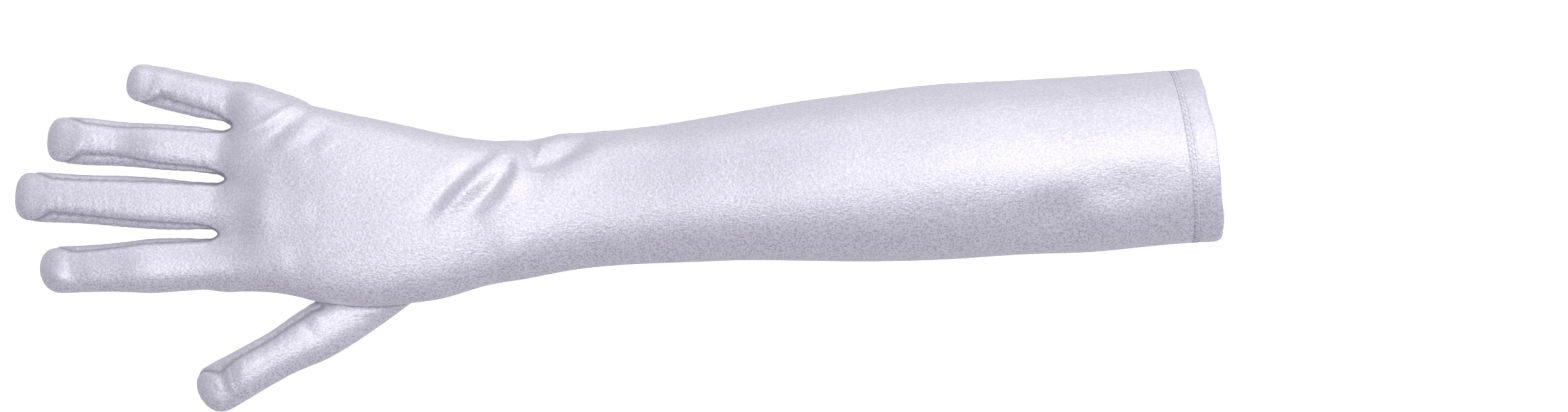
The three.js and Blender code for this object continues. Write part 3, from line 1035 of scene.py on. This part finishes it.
handCloth = clothPiece("handCloth", cloth, faces[free & ~taken])
finishCloth(
    handCloth, satinMaterial,
    ["hand_trank", "wrist_bend"], ["sleeve", "hand"], wristZone,
)
thumbLow = clothPiece("thumb_lower_cloth", cloth, faces[thumb & ~thumbFar])
thumbPivot = pivotOf("thumb_base")
thumbSpread = ((4, 7, 0), (-1.5, -8, 0))  # where its bend starts and ends, from the joint
spreadZone = np.array([thumbPivot + away for away in thumbSpread])
finishCloth(
    thumbLow, satinThumb,
    ["thumb_lower", "thumb_base_bend"], ["hand", "thumb_lower"], spreadZone,
)
thumbEnd = clothPiece("thumb_tip_cloth", cloth, faces[thumb & thumbFar])
finishCloth(
    thumbEnd, satinThumb,
    ["thumb_tip", "thumb_middle_bend"], ["thumb_lower", "thumb_tip"],
    digitZone("thumb", *bendZones["thumb"][2]),
)
handSeam = seamPoints(rest, points, cuffX - seamPlan["closingEnd"], wristX)

print("glove: hem and stitches")
hem = buildHem()
hem["clothArea"] = sum(face.area for face in hem.data.polygons) / 2
finishCloth(hem, satinHem, ["hem_band"], ["sleeve"])

stitchForm = {
    "hem": {
        "Pitch": 0.0020, "Stitch Length": 0.0017, "Thread Width": 0.00042, "Rows Apart": 0.0020, "Slant": 1.6,
    },
    "seam": {
        "Pitch": 0.0022, "Stitch Length": 0.0017, "Thread Width": 0.00034, "Rows Apart": 0.0, "Slant": 0.0,
    },
}


def sewingTree(name, rows):
    # rows: each row's place across the line, and whether its stitches slant to and fro
    tree = bpy.data.node_groups.new(name, "GeometryNodeTree")
    tree.interface.new_socket("Geometry", in_out="INPUT", socket_type="NodeSocketGeometry")
    for inputName in stitchForm["hem"]:
        tree.interface.new_socket(inputName, in_out="INPUT", socket_type="NodeSocketFloat")
    tree.interface.new_socket("Material", in_out="INPUT", socket_type="NodeSocketMaterial")
    tree.interface.new_socket("Geometry", in_out="OUTPUT", socket_type="NodeSocketGeometry")
    nodes, links = tree.nodes, tree.links
    entry = nodes.new("NodeGroupInput")
    leave = nodes.new("NodeGroupOutput")
    ball = nodes.new("GeometryNodeMeshUVSphere")
    fill(tree, ball, {"Segments": 7, "Rings": 5, "Radius": 0.5})
    thread = entry.outputs["Thread Width"]
    size = vectorNode(tree, entry.outputs["Stitch Length"], thread, thread)
    join = nodes.new("GeometryNodeJoinGeometry")
    index = nodes.new("GeometryNodeInputIndex")
    for place, slants in rows:
        spots = nodes.new("GeometryNodeCurveToPoints")
        spots.mode = "LENGTH"
        pitch = mathNode(tree, "MULTIPLY", entry.outputs["Pitch"], 0.5 if slants else 1.0)
        fill(tree, spots, {"Curve": entry.outputs["Geometry"], "Length": pitch})
        sway = mathNode(tree, "SUBTRACT", mathNode(tree, "MODULO", index.outputs[0], 2.0), 0.5)
        slope = mathNode(tree, "MULTIPLY", sway, entry.outputs["Slant"] if slants else 0.0)
        heading = vectorMathNode(tree, "ADD", spots.outputs["Tangent"], vectorNode(tree, slope))
        align = nodes.new("FunctionNodeAlignRotationToVector")
        align.axis = "X"
        links.new(heading, align.inputs["Vector"])
        aside = vectorNode(tree, mathNode(tree, "MULTIPLY", entry.outputs["Rows Apart"], place))
        move = nodes.new("GeometryNodeSetPosition")
        fill(tree, move, {"Geometry": spots.outputs["Points"], "Offset": aside})
        copies = nodes.new("GeometryNodeInstanceOnPoints")
        fill(tree, copies, {
            "Points": move.outputs[0],
            "Instance": ball.outputs["Mesh"],
            "Rotation": align.outputs[0],
            "Scale": size,
        })
        links.new(copies.outputs[0], join.inputs[0])
    last = join
    for kind in ("GeometryNodeRealizeInstances", "GeometryNodeSetShadeSmooth", "GeometryNodeSetMaterial"):
        node = nodes.new(kind)
        links.new(last.outputs[0], node.inputs[0])
        last = node
    links.new(entry.outputs["Material"], last.inputs["Material"])
    links.new(last.outputs[0], leave.inputs[0])
    return tree


def sewLine(name, path, tree, sizes, closed=False):
    curve = bpy.data.curves.new(name + "Line", "CURVE")
    curve.dimensions = "3D"
    spline = curve.splines.new("POLY")
    spline.points.add(len(path) - 1)
    for point, place in zip(spline.points, path * mm):
        point.co = (*place, 1)
    spline.use_cyclic_u = closed
    line = bpy.data.objects.new(name + "Line", curve)
    scene.collection.objects.link(line)
    modifier = line.modifiers.new("sewing", "NODES")
    modifier.node_group = tree
    for item in tree.interface.items_tree:
        if item.in_out != "INPUT" or item.name == "Geometry":
            continue
        modifier[item.identifier] = threadMaterial if item.name == "Material" else sizes[item.name]
    shown = bpy.context.evaluated_depsgraph_get()
    mesh = bpy.data.meshes.new_from_object(line.evaluated_get(shown), depsgraph=shown)
    mesh.name = name
    piece = bpy.data.objects.new(name, mesh)
    scene.collection.objects.link(piece)
    bpy.data.objects.remove(line)
    return piece


def evenPath(path, step):
    path = np.asarray(path)
    kept = [path[0]]
    for point in path:
        if np.linalg.norm(point - kept[-1]) >= step:
            kept.append(point)
    return np.array(kept)


def finishStitches(node):
    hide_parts(node)


rowRing, rowOut = ringAt(cuffX - hemForm["rowsAt"], hemForm["around"])
hemStitches = sewLine(
    "hemStitches", leanMouth(rowRing + rowOut * 0.02),
    sewingTree("coverStitch", [(-0.5, False), (0.5, False), (0.0, True)]), stitchForm["hem"], closed=True,
)
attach(hemStitches, "sleeve")
finishStitches("hem_stitching")
seamTree = sewingTree("seamStitch", [(0.0, False)])
lineStep = 1.5
sleeveStitches = sewLine("sleeveSeamStitches", evenPath(sleeveSeam, lineStep), seamTree, stitchForm["seam"])
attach(sleeveStitches, "sleeve")
finishStitches("sleeve_closing_seam")
handStitches = sewLine("handSeamStitches", evenPath(handSeam, lineStep), seamTree, stitchForm["seam"])
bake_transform(handStitches)
finishStitches("hand_closing_seam")

print("glove: floor, lights and camera")
studio = {
    "floorSize": 6.0, "floorGlow": 0.85,
    "floorAt": -0.21,  # low enough for the hand to bend down at the wrist
    "cameraOver": (0.0637, -0.0066), "cameraHeight": 1.215, "cameraTurn": -4.6, "lens": 75.2,
}


def plainFloor():
    mesh = bpy.data.meshes.new("floor")
    half = studio["floorSize"] / 2
    corners = [(-half, -half, 0), (half, -half, 0), (half, half, 0), (-half, half, 0)]
    mesh.from_pydata(corners, [], [(0, 1, 2, 3)])
    floor = bpy.data.objects.new("floor", mesh)
    scene.collection.objects.link(floor)
    floor.location.z = studio["floorAt"]
    material = bpy.data.materials.new("floorWhite")
    material.use_nodes = True
    tree = material.node_tree
    ray = tree.nodes.new("ShaderNodeLightPath")
    bright = mathNode(tree, "MULTIPLY", ray.outputs["Is Camera Ray"], studio["floorGlow"])
    fill(tree, tree.nodes["Principled BSDF"], {
        "Base Color": (0.72, 0.72, 0.72, 1),
        "Roughness": 0.9,
        "Specular IOR Level": 0.1,
        "Emission Color": (1, 1, 1, 1),
        "Emission Strength": bright,
    })
    floor.data.materials.append(material)
    return floor


def softLight(name, place, aim, size, power):
    light = bpy.data.lights.new(name, "AREA")
    light.shape = "RECTANGLE"
    light.size, light.size_y = size
    light.energy = power
    lamp = bpy.data.objects.new(name, light)
    lamp.location = place
    lamp.rotation_euler = (Vector(aim) - Vector(place)).to_track_quat("-Z", "Y").to_euler()
    scene.collection.objects.link(lamp)
    return lamp


plainFloor()
# Each light: its place, what it points at, its size, and its power.
softLight("keyLight", (0.75, 0.35, 1.6), (0.75, 0.35, 0), (2.6, 1.7), 19.5)
softLight("sideLight", (1.9, 0.3, 0.8), (0, 0, 0), (1.0, 1.0), 5)
softLight("handLight", (-0.45, -0.5, 1.2), (-0.12, -0.02, 0), (0.5, 0.4), 1.4)
softLight("edgeLight", (0.25, 1.7, 0.8), (0.05, 0, 0), (2.4, 1.1), 8)
world = bpy.data.worlds.new("studio")
world.use_nodes = True
fill(world.node_tree, world.node_tree.nodes["Background"], {"Color": (0.86, 0.81, 1.0, 1), "Strength": 0.37})
scene.world = world
scene.view_settings.view_transform = "Standard"

camera = bpy.data.objects.new("camera", bpy.data.cameras.new("camera"))
camera.data.lens = studio["lens"]
camera.data.clip_start = 0.05
camera.location = (*studio["cameraOver"], studio["cameraHeight"])
camera.rotation_euler = (0, 0, math.radians(studio["cameraTurn"]))
scene.collection.objects.link(camera)
scene.camera = camera
